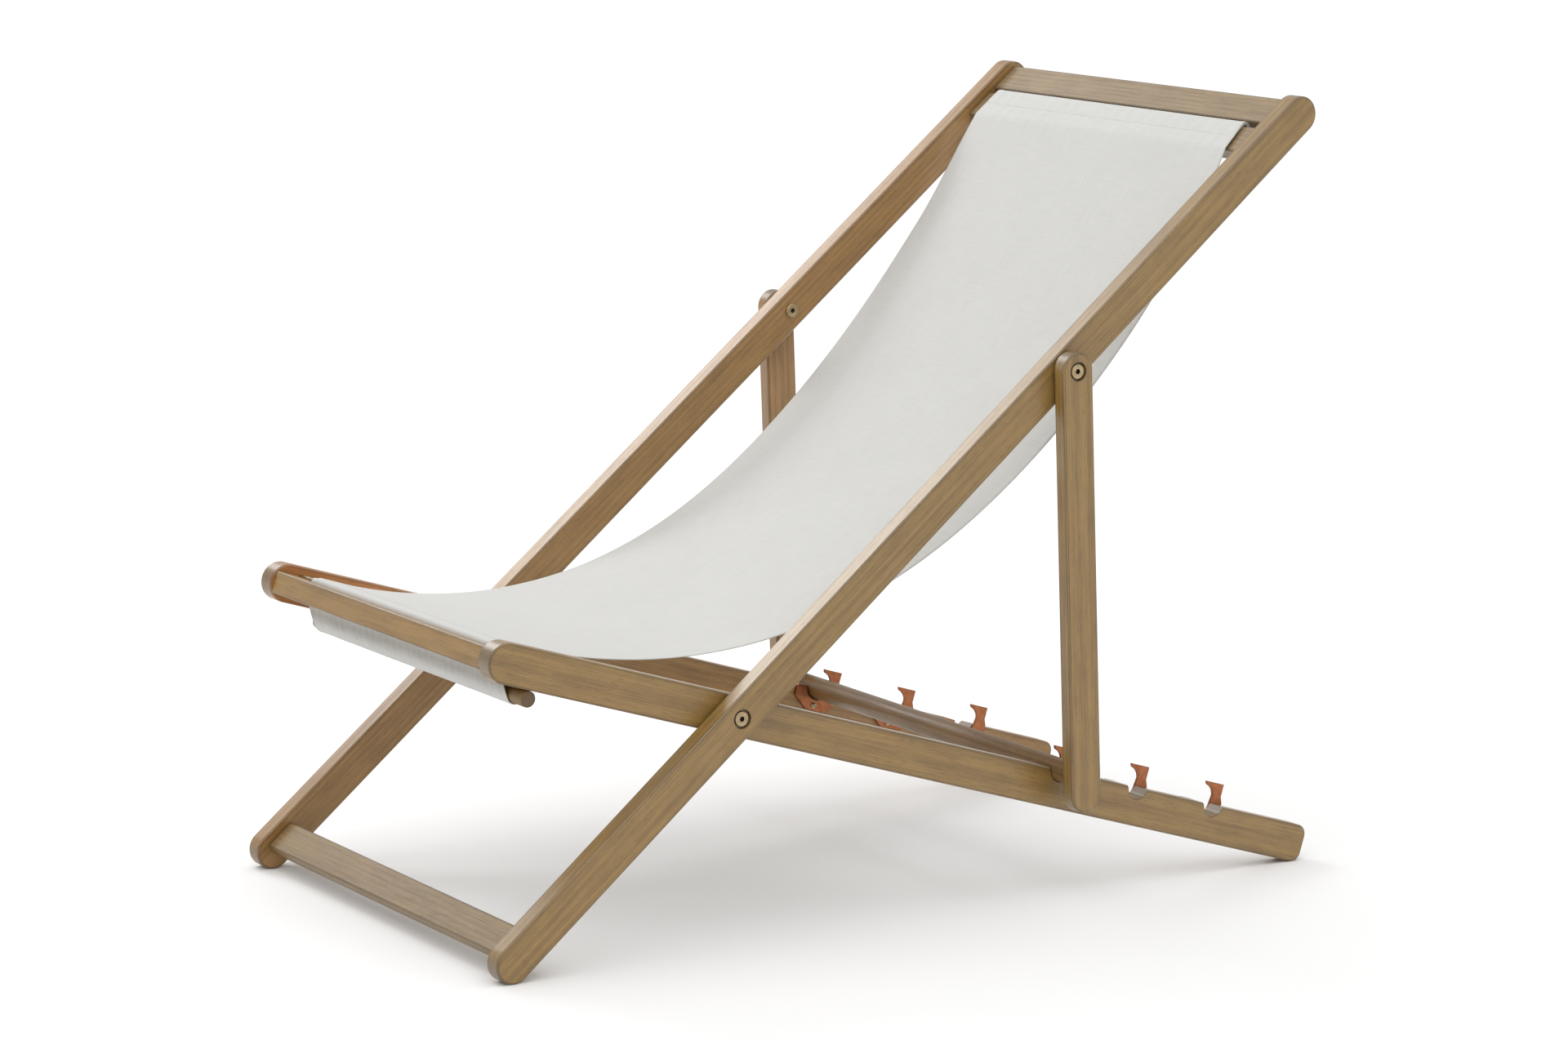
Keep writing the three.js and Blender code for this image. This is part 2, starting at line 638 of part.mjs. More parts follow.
// A strip of cloth along the path, its width falling from the top's to the front's
function cloth() {
  const path = cloth_path();
  const lengths = path.map((point, i) => (i ? point.distanceTo(path[i - 1]) : 0));
  const total = lengths.reduce((a, b) => a + b, 0);
  const corners = [];
  let run = 0;
  path.forEach((point, i) => {
    run += lengths[i];
    const back = i ? point.clone().sub(path[i - 1]).normalize() : null;
    const on = i < path.length - 1 ? path[i + 1].clone().sub(point).normalize() : back;
    const before = back ?? on;
    const along = before.clone().add(on).normalize();
    const normal = new THREE.Vector2(-along.y, along.x);
    const mitre = cloth_thick / 2 / normal.dot(new THREE.Vector2(-on.y, on.x));
    const taper = THREE.MathUtils.smoothstep(run / total, ...cloth_taper_shares);
    const spread = THREE.MathUtils.smoothstep(run / total, ...cloth_gather_shares);
    const half = THREE.MathUtils.lerp(cloth_top_width, cloth_front_width, taper) / 2
      - cloth_gather * (1 - spread);
    [[-half, 1], [half, 1], [half, -1], [-half, -1]].forEach(([x, side]) => {
      const edge = point.clone().addScaledVector(normal, side * mitre);
      corners.push(x, edge.x, edge.y);
    });
  });
  const faces = [];
  const ring = 4;
  for (let i = 0; i < path.length - 1; i += 1) {
    for (let j = 0; j < ring; j += 1) {
      const a = i * ring + j;
      const b = i * ring + (j + 1) % ring;
      faces.push(a, b, a + ring, b, b + ring, a + ring);
    }
  }
  const last = (path.length - 1) * ring;
  faces.push(0, 2, 1, 0, 3, 2);
  faces.push(last, last + 1, last + 2, last, last + 2, last + 3);
  const geometry = new THREE.BufferGeometry();
  geometry.setAttribute('position', new THREE.Float32BufferAttribute(corners, 3));
  geometry.setIndex(faces);
  geometry.computeVertexNormals();
  return geometry;
}

place(chair, 'sling', cloth(), canvas);
place(back_frame, 'top_dowel', rod(dowel_radius, -top_dowel_length / 2, top_dowel_length / 2,
  slot_middle_top, top_dowel_level), dowel_wood);
place(seat_frame, 'front_dowel', rod(dowel_radius, front_dowel_right, front_dowel_left,
  -front_dowel_along, front_dowel_level), dowel_wood);

export default chair;
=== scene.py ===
"""Looks of the folding sling deck chair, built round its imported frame. Metres, +Z up."""
import json
import math

import bmesh
import bpy
from mathutils import Matrix, Vector, noise


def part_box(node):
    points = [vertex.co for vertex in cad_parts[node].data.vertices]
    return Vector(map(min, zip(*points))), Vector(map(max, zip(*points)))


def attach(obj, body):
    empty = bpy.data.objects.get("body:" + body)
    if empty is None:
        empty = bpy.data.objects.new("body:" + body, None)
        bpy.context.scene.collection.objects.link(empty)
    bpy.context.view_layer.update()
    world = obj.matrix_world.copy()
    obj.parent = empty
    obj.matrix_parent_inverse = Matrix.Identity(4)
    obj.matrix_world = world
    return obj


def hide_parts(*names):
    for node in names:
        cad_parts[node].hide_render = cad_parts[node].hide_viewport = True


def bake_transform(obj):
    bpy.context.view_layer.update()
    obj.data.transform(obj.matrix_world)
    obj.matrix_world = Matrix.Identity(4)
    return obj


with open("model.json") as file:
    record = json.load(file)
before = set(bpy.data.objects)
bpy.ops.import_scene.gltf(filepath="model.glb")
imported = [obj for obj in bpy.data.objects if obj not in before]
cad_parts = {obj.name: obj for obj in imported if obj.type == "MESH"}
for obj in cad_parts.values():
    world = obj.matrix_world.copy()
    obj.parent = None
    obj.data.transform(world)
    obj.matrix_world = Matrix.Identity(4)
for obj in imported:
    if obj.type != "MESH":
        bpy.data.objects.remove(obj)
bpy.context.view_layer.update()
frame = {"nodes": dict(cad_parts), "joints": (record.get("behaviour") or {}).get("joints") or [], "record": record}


def axis_of(node):
    """The middle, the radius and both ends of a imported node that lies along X."""
    low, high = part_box(node)
    return (low + high) / 2, (high.z - low.z) / 2, low.x, high.x


# Places and turns, read from the frame
joints = {joint["name"]: joint for joint in frame["joints"]}
mounts = {mount["name"]: mount for mount in frame["record"]["mounts"]}
cross = Vector(joints["back_fold"]["pos_m"])
prop_pin = Vector(joints["prop_swing"]["pos_m"])
bar_middle = axis_of("prop_crossbar")[0]
front_axis = mounts["front_slat_face"]["axis"]
back_turn = math.atan2(prop_pin.z - cross.z, prop_pin.y - cross.y)
seat_turn = math.atan2(-front_axis[2], -front_axis[1])
prop_turn = math.atan2(bar_middle.z - prop_pin.z, bar_middle.y - prop_pin.y)

QUARTER = math.pi / 2
TURN = 2 * math.pi


def in_frame(point, turn):
    """A point given along and above a rail, from the cross pivot, in the chair's frame."""
    along, above = point
    return Vector((0, cross.y + along * math.cos(turn) - above * math.sin(turn),
                   cross.z + along * math.sin(turn) + above * math.cos(turn)))


def to_frame(place, turn):
    """How far along and above a rail a point of the chair lies."""
    y, z = place.y - cross.y, place.z - cross.z
    return (y * math.cos(turn) + z * math.sin(turn), z * math.cos(turn) - y * math.sin(turn))


def smooth(value, low, high):
    """0 up to low, 1 from high on, and a smooth rise between them."""
    share = min(max((value - low) / (high - low), 0.0), 1.0)
    return share * share * (3 - 2 * share)


# Camera: placed from the cross pivot, at the photograph's viewing angle
CAMERA_OFFSET = Vector((4.1312, -2.4384, 0.9955))
CAMERA_YAW = math.radians(57.192)
CAMERA_PITCH = math.radians(-9.851)
CAMERA_ROLL = math.radians(1.057)
SENSOR_WIDTH = 36.0
FOCAL_IN_WIDTHS = 5621.5 / 1920


def add_camera():
    data = bpy.data.cameras.new("camera")
    data.sensor_fit = "HORIZONTAL"
    data.sensor_width = SENSOR_WIDTH
    data.lens = SENSOR_WIDTH * FOCAL_IN_WIDTHS
    camera = bpy.data.objects.new("camera", data)
    bpy.context.scene.collection.objects.link(camera)
    ahead = Vector((-math.sin(CAMERA_YAW) * math.cos(CAMERA_PITCH),
                    math.cos(CAMERA_YAW) * math.cos(CAMERA_PITCH), math.sin(CAMERA_PITCH)))
    level = ahead.cross(Vector((0, 0, 1))).normalized()
    upright = level.cross(ahead)
    side = math.cos(CAMERA_ROLL) * level + math.sin(CAMERA_ROLL) * upright
    top = math.cos(CAMERA_ROLL) * upright - math.sin(CAMERA_ROLL) * level
    turn = Matrix((side, top, -ahead)).transposed()
    camera.matrix_world = Matrix.Translation(cross + CAMERA_OFFSET) @ turn.to_4x4()
    bpy.context.scene.camera = camera


# Studio: an even white room, one broad soft light overhead, and a lower one from the far side
# that shines along the upper faces of the rails
FLOOR_HALF = 45.0
SUN_FROM = Vector((0.25, -0.20, 1.0))
SUN_STRENGTH = 1.42
SUN_SPREAD = math.radians(95)
WORLD_STRENGTH = 0.72
SIDE_LIGHT = Vector((-3.0, -0.5, 2.45))
SIDE_AIM = Vector((0.0, -0.15, 0.40))
SIDE_SIZE = 1.6
SIDE_POWER = 34.0


def add_light(name, kind, power, shines_from):
    """A light turned so that it shines from the direction shines_from."""
    data = bpy.data.lights.new(name, kind)
    data.energy = power
    light = bpy.data.objects.new(name, data)
    light.rotation_euler = shines_from.to_track_quat("Z", "Y").to_euler()
    bpy.context.scene.collection.objects.link(light)
    return light


def add_floor():
    corners = [(-FLOOR_HALF, -FLOOR_HALF, 0), (FLOOR_HALF, -FLOOR_HALF, 0),
               (FLOOR_HALF, FLOOR_HALF, 0), (-FLOOR_HALF, FLOOR_HALF, 0)]
    mesh = bpy.data.meshes.new("floor")
    mesh.from_pydata(corners, [], [(0, 1, 2, 3)])
    mesh.materials.append(floor_material())
    floor = bpy.data.objects.new("floor", mesh)
    bpy.context.scene.collection.objects.link(floor)


def add_studio():
    scene = bpy.context.scene
    scene.view_settings.view_transform = "Standard"
    world = bpy.data.worlds.new("studio")
    world.use_nodes = True
    background = world.node_tree.nodes["Background"]
    background.inputs["Color"].default_value = (1, 1, 1, 1)
    background.inputs["Strength"].default_value = WORLD_STRENGTH
    scene.world = world
    overhead = add_light("overhead_light", "SUN", SUN_STRENGTH, SUN_FROM)
    overhead.data.angle = SUN_SPREAD
    side = add_light("side_light", "AREA", SIDE_POWER, SIDE_LIGHT - SIDE_AIM)
    side.data.shape = "DISK"
    side.data.size = SIDE_SIZE
    side.location = SIDE_LIGHT
    add_floor()


# Materials: small helpers round the shader nodes
BEVEL_SAMPLES = 6


class Shader:
    """A material under construction, with its principled shader."""

    def __init__(self, name):
        self.material = bpy.data.materials.new(name)
        self.material.use_nodes = True
        self.nodes = self.material.node_tree.nodes
        self.links = self.material.node_tree.links
        self.surface = self.nodes["Principled BSDF"]

    def node(self, kind, **settings):
        made = self.nodes.new(kind)
        for name, value in settings.items():
            setattr(made, name, value)
        return made

    def feed(self, target, value):
        """Links a socket to the target, or sets a plain value there."""
        if isinstance(value, bpy.types.NodeSocket):
            self.links.new(value, target)
        else:
            target.default_value = value

    def place(self):
        return self.node("ShaderNodeTexCoord").outputs["Object"]

    def math(self, operation, *values):
        made = self.node("ShaderNodeMath", operation=operation)
        for target, value in zip(made.inputs, values):
            self.feed(target, value)
        return made.outputs[0]

    def total(self, *parts):
        """The sum of (value, weight) pairs."""
        weighed = [self.math("MULTIPLY", value, weight) for value, weight in parts]
        result = weighed[0]
        for value in weighed[1:]:
            result = self.math("ADD", result, value)
        return result

    def vector(self, operation, *values):
        made = self.node("ShaderNodeVectorMath", operation=operation)
        for target, value in zip(made.inputs, values):
            self.feed(target, value)
        return made.outputs["Value" if operation in ("LENGTH", "DOT_PRODUCT") else "Vector"]

    def noise(self, vector, scale, detail, roughness=0.5):
        """Noise with its own scale, in waves a metre, along each axis."""
        made = self.node("ShaderNodeTexNoise")
        self.links.new(self.vector("MULTIPLY", vector, scale), made.inputs["Vector"])
        made.inputs["Scale"].default_value = 1.0
        made.inputs["Detail"].default_value = detail
        made.inputs["Roughness"].default_value = roughness
        return made.outputs[0]

    def between(self, value, low, high, to_low=0.0, to_high=1.0):
        """Takes the value smoothly from the range low to high to another one."""
        made = self.node("ShaderNodeMapRange", interpolation_type="SMOOTHSTEP")
        for target, number in zip(made.inputs, (value, low, high, to_low, to_high)):
            self.feed(target, number)
        return made.outputs[0]

    def mix(self, share, a, b, blend="MIX"):
        made = self.node("ShaderNodeMix", data_type="RGBA", blend_type=blend)
        self.feed(made.inputs["Factor"], share)
        self.feed(made.inputs["A"], a)
        self.feed(made.inputs["B"], b)
        return made.outputs["Result"]

    def bump(self, height, distance, strength, normal=None):
        made = self.node("ShaderNodeBump")
        self.feed(made.inputs["Height"], height)
        made.inputs["Distance"].default_value = distance
        made.inputs["Strength"].default_value = strength
        if normal is not None:
            self.links.new(normal, made.inputs["Normal"])
        self.links.new(made.outputs["Normal"], self.surface.inputs["Normal"])

    def rounded(self, radius):
        """The surface's normal with its edges rounded off, and how far it bends there."""
        made = self.node("ShaderNodeBevel", samples=BEVEL_SAMPLES)
        made.inputs["Radius"].default_value = radius
        plain = self.node("ShaderNodeNewGeometry").outputs["Normal"]
        facing = self.vector("DOT_PRODUCT", made.outputs[0], plain)
        return made.outputs[0], self.math("SUBTRACT", 1.0, facing)

    def set(self, values):
        for name, value in values.items():
            self.feed(self.surface.inputs[name], value)


def rgb(colour, times=1.0):
    return (*(times * part for part in colour), 1.0)


# A pattern of noise is its waves a metre along each axis, how much fine detail it has and,
# where that isn't the usual half, how rough the detail is. A range holds the two values
# between which something changes, and a relief is a depth in metres and a strength

# Floor
FLOOR_TONES = ((0.89, 0.89, 0.89), (0.91, 0.91, 0.91))
FLOOR_CLOUD = ((1.5, 1.5, 1.5), 2)
FLOOR_ROUGHNESS = 0.9
FLOOR_SHINE = 0.1


def floor_material():
    shader = Shader("floor_white")
    cloud = shader.noise(shader.place(), *FLOOR_CLOUD)
    shader.set({"Base Color": shader.mix(cloud, *map(rgb, FLOOR_TONES)),
                "Roughness": FLOOR_ROUGHNESS, "Specular IOR Level": FLOOR_SHINE})
    return shader.material


# Wood: fine fibre and pores along the grain, faint rings round a pith outside the board,
# and a slow drift of tone. The grain runs along the second axis of its patterns
DRIFT = ((9, 1.6, 9), 2)
FIBRE = ((1250, 16, 1250), 4)
STREAK = ((260, 5, 260), 4, 0.6)
MOTTLE = ((70, 24, 70), 3)
PORES = ((1500, 95, 1500), 1)
SEED_SHIFT = Vector((0.37, 0.71, 0.53))
PITH_DISTANCE = 0.11
RING_SPACING = 0.0062
RING_WARP = 0.012

# Its colour: how much each pattern counts, the warm tint, darker end grain, and a dark
# line along each arris
RING_WEIGHT = 0.09
FIBRE_WEIGHT = 0.52
STREAK_WEIGHT = 0.46
MOTTLE_WEIGHT = 0.30
DEPTH_RANGE = (0.46, 0.94)
WARM_RANGE = (0.30, 0.72)
LEAST_WARM_SHARE = 0.2
WARM = (1.16, 0.95, 0.76)
PLAIN = (1.0, 1.0, 1.0)
PORE_RANGE = (0.60, 0.70)
PORE_SHARE = 0.42
PORE_TONE = 0.42
END_RANGE = (0.20, 0.85)
END_SHARE = 0.72
END_TONE = 0.6
ARRIS_ROUND = 0.0018
ARRIS_RANGE = (0.003, 0.05)
ARRIS_SHARE = 0.88
ARRIS_TONE = 0.22

# Its satin oiled finish, glossier on the rails
WOOD_SHINE = 0.5
WOOD_ROUGHNESS = (0.38, 0.56)
FIBRE_RANGE = (0.3, 0.75)
FIBRE_HEIGHT = 0.6
WOOD_RELIEF = (0.00025, 0.35)
COAT_ROUGHNESS = 0.32
NEAR_COAT = 0.80
FAR_COAT = 0.60
THIN_COAT = 0.3

# Light and dark tones of the boards, how warm they are, and what sets their patterns apart
RAIL_WOOD = ((0.302, 0.183, 0.045), (0.167, 0.095, 0.021))
FAR_WOOD = ((0.340, 0.196, 0.058), (0.187, 0.101, 0.027))
# The next tones are painted bounce light: an orange glow on the far seat rail's inner front, as of light thrown
# between the boards
FAR_FRONT_BOUNCE_TONES = ((0.500, 0.205, 0.045), (0.280, 0.108, 0.024))
FRONT_WOOD = ((0.322, 0.192, 0.056), (0.178, 0.099, 0.026))
# The top slats' tones are partly painted sheen: lighter and greyer, as the white reflection on their upward faces
TOP_SHEEN_WOOD = ((0.296, 0.212, 0.111), (0.179, 0.120, 0.057))
FOOT_WOOD = ((0.253, 0.165, 0.062), (0.154, 0.096, 0.033))
DOWEL_WOOD = ((0.225, 0.128, 0.040), (0.127, 0.069, 0.021))
NEAR_WARM = 0.2
FAR_WARM = 0.5
ROD_WARM = 0.3
RAIL_SEEDS = (4, 6, 8, 10, 12, 14)
SLAT_SEEDS = (1.5, 2.5, 3.5, 4.5, 5.5)
ROD_SEEDS = (7.5, 8.5, 9.5)

# Where the far seat rail takes tones of painted bounce light: by place along Y, and just under its inner face
FRONT_RANGE = (-0.42, -0.22)
INNER_DEPTHS = (0.012, 0.001)
INNER_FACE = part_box("seat_rail_right")[1].x
INNER_RANGE = [INNER_FACE - depth for depth in INNER_DEPTHS]


def grain_place(shader, turn, across, shift):
    """The place on a board, turned so that its grain runs along the second axis."""
    mapping = shader.node("ShaderNodeMapping")
    shader.links.new(shader.place(), mapping.inputs["Vector"])
    mapping.inputs["Rotation"].default_value = (-turn, 0, QUARTER if across else 0)
    mapping.inputs["Location"].default_value = shift
    return mapping.outputs[0]


def growth_rings(shader, grain, drift, shift):
    """Rings round a pith outside the board, wavering with the drift."""
    pith = shader.vector("SUBTRACT", shader.vector("MULTIPLY", grain, (1, 0, 1)),
                         (shift.x - PITH_DISTANCE, 0, shift.z + PITH_DISTANCE / 2))
    radius = shader.math("ADD", shader.vector("LENGTH", pith),
                         shader.math("MULTIPLY", drift, RING_WARP))
    ring = shader.math("SINE", shader.math("MULTIPLY", radius, TURN / RING_SPACING))
    return shader.between(ring, -1.0, 1.0)


def bounce_glow_share(shader):
    """Where painted bounce light lies: 1 on the far seat rail's inner side at the chair's front, and 0 away from
    it.
    """
    parts = shader.node("ShaderNodeSeparateXYZ")
    shader.links.new(shader.place(), parts.inputs[0])
    return shader.math("MULTIPLY", shader.between(parts.outputs[1], *FRONT_RANGE, 1.0, 0.0),
                       shader.between(parts.outputs[0], *INNER_RANGE))


def wood_material(name, turn, tones, seed, warm, coat=THIN_COAT, across=False, front=None):
    """Satin oiled hardwood. Its grain runs along a rail turned about X, or across the chair.

    With front, the board has those tones on its inner side at the chair's front, as painted bounce light."""
    light, dark = tones
    shader = Shader(name)
    shift = SEED_SHIFT * seed
    grain = grain_place(shader, turn, across, shift)
    drift = shader.noise(grain, *DRIFT)
    rings = growth_rings(shader, grain, drift, shift)
    fibre = shader.noise(grain, *FIBRE)
    streak = shader.noise(grain, *STREAK)
    mottle = shader.noise(grain, *MOTTLE)
    pore = shader.between(shader.noise(grain, *PORES), *PORE_RANGE)
    tone = shader.total((rings, RING_WEIGHT), (fibre, FIBRE_WEIGHT), (streak, STREAK_WEIGHT),
                        (mottle, MOTTLE_WEIGHT))
    depth = shader.between(tone, *DEPTH_RANGE)
    colour = shader.mix(depth, rgb(light), rgb(dark))
    if front:
        # Painted bounce light: the far seat rail's inner front takes its orange tones
        colour = shader.mix(bounce_glow_share(shader), colour, shader.mix(depth, *map(rgb, front)))
    warmth = shader.between(drift, *WARM_RANGE, LEAST_WARM_SHARE * warm, warm)
    tint = shader.mix(warmth, rgb(PLAIN), rgb(WARM))
    colour = shader.mix(1.0, colour, tint, blend="MULTIPLY")
    colour = shader.mix(shader.math("MULTIPLY", pore, PORE_SHARE), colour, rgb(dark, PORE_TONE))
    grain_way = (1, 0, 0) if across else (0, math.cos(turn), math.sin(turn))
    facing = shader.node("ShaderNodeTexCoord").outputs["Normal"]
    end = shader.math("ABSOLUTE", shader.vector("DOT_PRODUCT", facing, grain_way))
    end = shader.between(end, *END_RANGE, 0.0, END_SHARE)
    colour = shader.mix(end, colour, rgb(dark, END_TONE))
    normal, bend = shader.rounded(ARRIS_ROUND)
    # A darker line along each arris, where the surface bends
    darkening = shader.between(bend, *ARRIS_RANGE, 0.0, ARRIS_SHARE)
    colour = shader.mix(darkening, colour, rgb(dark, ARRIS_TONE))
    shader.set({"Base Color": colour, "Specular IOR Level": WOOD_SHINE,
                "Coat Weight": coat, "Coat Roughness": COAT_ROUGHNESS,
                "Roughness": shader.between(fibre, *FIBRE_RANGE, *WOOD_ROUGHNESS)})
    height = shader.math("SUBTRACT", shader.math("MULTIPLY", fibre, FIBRE_HEIGHT), pore)
    shader.bump(height, *WOOD_RELIEF, normal=normal)
    return shader.material


# Canvas: a plain weave of slubby yarn, laid out by the cloth's own flat lengths, with a
# band of painted shade across the roll past the front slot, where the slat shades it
YARN_PITCH = 0.0011
YARN_RANGE = (-0.25, 0.25)
LONG_SLUB = ((620, 28, 1), 2)
CROSS_SLUB = ((28, 620, 1), 2)
SLUB_SHARE = 0.5
CANVAS_CLOUD = ((9, 9, 1), 4, 0.6)
YARN_WEIGHT = 0.35
SLUB_WEIGHT = 0.9
CLOUD_WEIGHT = 0.25
CANVAS_RANGE = (0.45, 1.0)
CANVAS_TONE = (0.605, 0.602, 0.577)
CANVAS_DARK_SHARE = 0.87
CANVAS_ROUGHNESS = 0.88
CANVAS_SHINE = 0.2
CANVAS_SHEEN = 0.12
SHEEN_ROUGHNESS = 0.5
CANVAS_RELIEF = (0.00022, 0.5)
# Painted shade: a greyed band on the roll just under the front slat, standing in for its shadow
SLOT_SHADE_TONE = (0.27, 0.245, 0.205)
SLOT_SHADE_PAST_SLOT = 0.044
SLOT_SHADE_RANGE = (0.006, 0.022)
SLOT_SHADE_SHARE = 0.60
SLOT_SHADE_WAVER = 0.012


def canvas_material(name, slot_shade_run):
    """Plain woven canvas, with a band of painted shade across it at the run it is given."""
    shader = Shader(name)
    flat = shader.node("ShaderNodeUVMap", uv_map="flat").outputs[0]
    parts = shader.node("ShaderNodeSeparateXYZ")
    shader.links.new(flat, parts.inputs[0])
    half_turns = math.pi / YARN_PITCH
    across = shader.math("SINE", shader.math("MULTIPLY", parts.outputs[0], half_turns))
    along = shader.math("SINE", shader.math("MULTIPLY", parts.outputs[1], half_turns))
    over = shader.between(shader.math("MULTIPLY", across, along), *YARN_RANGE)
    under = shader.math("SUBTRACT", 1.0, over)
    height = shader.math("ADD", shader.math("MULTIPLY", over, shader.math("ABSOLUTE", across)),
                         shader.math("MULTIPLY", under, shader.math("ABSOLUTE", along)))
    slub = shader.total((shader.noise(flat, *LONG_SLUB), SLUB_SHARE),
                        (shader.noise(flat, *CROSS_SLUB), SLUB_SHARE))
    cloud = shader.noise(flat, *CANVAS_CLOUD)
    tone = shader.total((height, YARN_WEIGHT), (slub, SLUB_WEIGHT), (cloud, CLOUD_WEIGHT))
    colour = shader.mix(shader.between(tone, *CANVAS_RANGE), rgb(CANVAS_TONE, CANVAS_DARK_SHARE),
                        rgb(CANVAS_TONE))
    # Painted shade: the roll is darkened just under the front slat, where the slat shades it
    slot_shade = shader.math("ABSOLUTE", shader.math("SUBTRACT", parts.outputs[1], slot_shade_run))
    slot_shade = shader.math("ADD", slot_shade, shader.math("MULTIPLY", slub, SLOT_SHADE_WAVER))
    slot_shade = shader.between(slot_shade, *SLOT_SHADE_RANGE, SLOT_SHADE_SHARE, 0.0)
    colour = shader.mix(slot_shade, colour, rgb(SLOT_SHADE_TONE))
    shader.set({"Base Color": colour, "Roughness": CANVAS_ROUGHNESS,
                "Specular IOR Level": CANVAS_SHINE,
                "Sheen Weight": CANVAS_SHEEN, "Sheen Roughness": SHEEN_ROUGHNESS})
    shader.bump(shader.math("ADD", height, slub), *CANVAS_RELIEF)
    return shader.material


# Sewing thread
THREAD_TONE = (0.58, 0.575, 0.545)
THREAD_DARK_SHARE = 0.8
THREAD_TWIST = ((1500, 900, 900), 2)
THREAD_ROUGHNESS = 0.7
THREAD_RELIEF = (0.0001, 0.5)


def thread_material():
    shader = Shader("stitching_thread")
    twist = shader.noise(shader.place(), *THREAD_TWIST)
    colour = shader.mix(twist, rgb(THREAD_TONE, THREAD_DARK_SHARE), rgb(THREAD_TONE))
    shader.set({"Base Color": colour, "Roughness": THREAD_ROUGHNESS})
    shader.bump(twist, *THREAD_RELIEF)
    return shader.material


# Metals: brushed, with faint handling marks and edges darkened as painted shade. A finish is a light
# and a dark tone, a roughness and a brushed pattern
COPPER = ((0.42, 0.165, 0.078), (0.26, 0.092, 0.040), 0.38, ((90, 900, 900), 4))
BRASS = ((0.50, 0.385, 0.235), (0.33, 0.24, 0.135), 0.36, ((300, 300, 300), 4))
STEEL = ((0.50, 0.50, 0.49), (0.32, 0.32, 0.32), 0.36, ((200, 700, 700), 4))
# The socket finish is a painted shadow: near-black tones for the hollow of each socket
SOCKET_SHADOW_FINISH = ((0.035, 0.030, 0.022), (0.015, 0.013, 0.010), 0.55, ((400, 400, 400), 4))
BRUSH_RANGE = (0.25, 0.75)
BRUSH_SMOOTHER = 0.08
BRUSH_ROUGHER = 0.1
HANDLING = ((160, 160, 160), 3)
HANDLING_RANGE = (0.35, 0.7)
HANDLING_SHARE = 0.6
METAL_ROUND = 0.0008
# How far metal edges are darkened as painted shade, and how dark
METAL_EDGE_SHADE_RANGE = (0.01, 0.16)
METAL_EDGE_SHADE_SHARE = 0.8
METAL_EDGE_SHADE_TONE = 0.28
METAL_RELIEF = (0.00008, 0.3)


def metal_material(name, finish):
    light, dark, roughness, brush = finish
    shader = Shader(name)
    streak = shader.noise(shader.place(), *brush)
    darkening = shader.between(shader.noise(shader.place(), *HANDLING), *HANDLING_RANGE)
    colour = shader.mix(shader.math("MULTIPLY", darkening, HANDLING_SHARE), rgb(light), rgb(dark))
    normal, bend = shader.rounded(METAL_ROUND)
    # Painted shade: a dark rim along every edge, standing in for the shadowed gaps round heads and plates
    edge = shader.between(bend, *METAL_EDGE_SHADE_RANGE, 0.0, METAL_EDGE_SHADE_SHARE)
    colour = shader.mix(edge, colour, rgb(dark, METAL_EDGE_SHADE_TONE))
    shader.set({"Base Color": colour, "Metallic": 1.0,
                "Roughness": shader.between(streak, *BRUSH_RANGE, roughness - BRUSH_SMOOTHER,
                                            roughness + BRUSH_ROUGHER)})
    shader.bump(streak, *METAL_RELIEF, normal=normal)
    return shader.material


def dress(node, material):
    """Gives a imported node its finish."""
    piece = frame["nodes"][node]
    piece.data.materials.clear()
    piece.data.materials.append(material)


def dress_wood():
    rails = (("back_rail", back_turn), ("seat_rail", seat_turn), ("prop", prop_turn))
    sides = (("left", RAIL_WOOD, NEAR_WARM, NEAR_COAT), ("right", FAR_WOOD, FAR_WARM, FAR_COAT))
    seeds = iter(RAIL_SEEDS)
    for side, tones, warm, coat in sides:
        for rail, turn in rails:
            node = f"{rail}_{side}"
            # The far seat rail carries painted bounce light on its inner front
            front = FAR_FRONT_BOUNCE_TONES if node == "seat_rail_right" else None
            dress(node, wood_material(f"wood_{node}", turn, tones, next(seeds), warm, coat,
                                      front=front))
    # The top slats take the tones that hold painted sheen
    slats = (("top_slat", back_turn, TOP_SHEEN_WOOD), ("top_slot_slat", back_turn, TOP_SHEEN_WOOD),
             ("foot_slat", back_turn, FOOT_WOOD), ("front_slat", seat_turn, FRONT_WOOD),
             ("front_slot_slat", seat_turn, FRONT_WOOD))
    for seed, (node, turn, tones) in zip(SLAT_SEEDS, slats):
        dress(node, wood_material(f"wood_{node}", turn, tones, seed, NEAR_WARM, across=True))


def dress_metal():
    copper = metal_material("copper_plate", COPPER)
    brass = metal_material("brass_screw", BRASS)
    steel = metal_material("washer_steel", STEEL)
    for node in frame["nodes"]:
        if node.startswith("hook_plate"):
            dress(node, copper)
        elif node.startswith("hook_screw"):
            dress(node, brass)
        elif "washer" in node:
            dress(node, steel)


def add_object(name, mesh, materials):
    """Puts a finished mesh into the scene as an object."""
    bmesh.ops.recalc_face_normals(mesh, faces=mesh.faces)
    data = bpy.data.meshes.new(name)
    mesh.to_mesh(data)
    mesh.free()
    for material in materials:
        data.materials.append(material)
    made = bpy.data.objects.new(name, data)
    bpy.context.scene.collection.objects.link(made)
    return made


